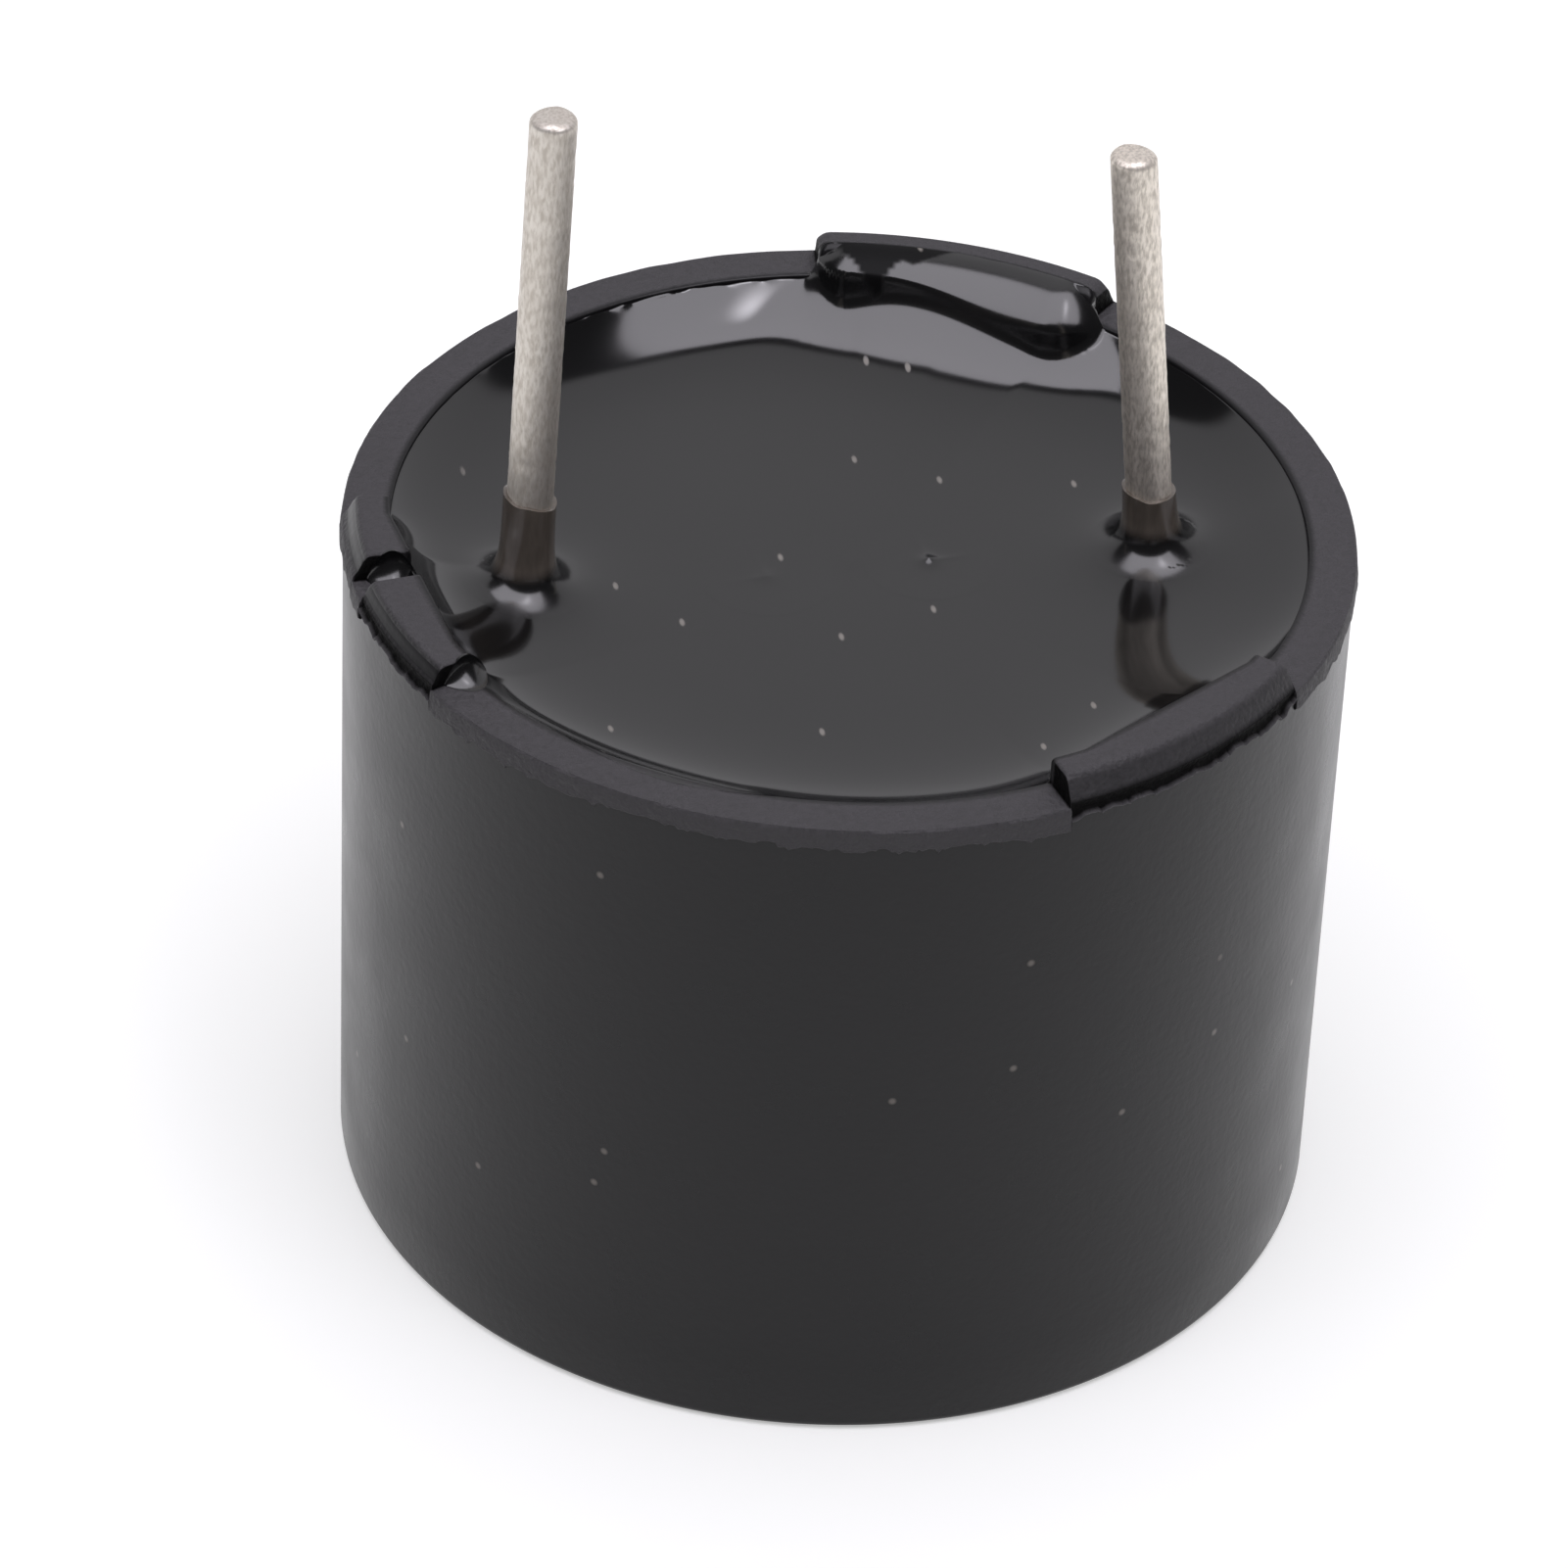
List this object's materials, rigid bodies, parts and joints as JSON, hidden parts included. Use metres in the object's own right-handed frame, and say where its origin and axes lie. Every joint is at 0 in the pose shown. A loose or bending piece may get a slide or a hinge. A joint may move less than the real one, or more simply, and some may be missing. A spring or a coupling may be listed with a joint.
{
  "type": "piezo buzzer",
  "caption": "Round black buzzer can potted with glossy resin, with a longer and a shorter wire lead, low stand-off lugs on the rim and a sound hole in the face.",
  "frame": {"origin": "centre of the sound face, on the axis of the case", "axes": "+Z along the axis of the case, from the sound face to the leads; +X from the positive lead to the negative lead"},
  "size_m": [0.012, 0.012, 0.0148],
  "materials": {
    "case_plastic": "satin moulded black plastic, dusty and lightly scuffed",
    "resin": "glossy black potting resin",
    "tinned_wire": "dull tinned wire with fine drawing marks",
    "board_laminate": "brown paper laminate",
    "copper": "bare copper",
    "solder": "bright solder",
    "part_moulding": "fine-grained black moulding",
    "part_metal": "tinned metal",
    "ferrite": "fired grey-black ferrite",
    "resistor_ceramic": "glazed black over white ceramic",
    "plate_brass": "rolled brass",
    "piezo_ceramic": "fired cream ceramic",
    "silver": "fired silver paste",
    "adhesive": "cured silicone",
    "wire_red": "red insulation",
    "wire_blue": "blue insulation",
    "wire_black": "black insulation"
  },
  "bodies": {
    "root": {"case": "case_plastic", "potting_resin": "resin", "positive_lead": "tinned_wire", "negative_lead": "tinned_wire", "circuit_board": "board_laminate", "copper_pads": "copper", "lead_solder": "solder", "transistor_body": "part_moulding", "transistor_legs": "part_metal", "choke_body": "ferrite", "choke_caps": "part_metal", "bias_resistor_body": "resistor_ceramic", "bias_resistor_caps": "part_metal", "feedback_resistor_body": "resistor_ceramic", "feedback_resistor_caps": "part_metal", "piezo_plate": "plate_brass", "piezo_ceramic": "piezo_ceramic", "drive_electrode": "silver", "feedback_electrode": "silver", "plate_adhesive": "adhesive", "drive_wire": "wire_red", "feedback_wire": "wire_blue", "plate_wire": "wire_black", "element_solder": "solder", "board_solder": "solder"}
  },
  "joints": []
}
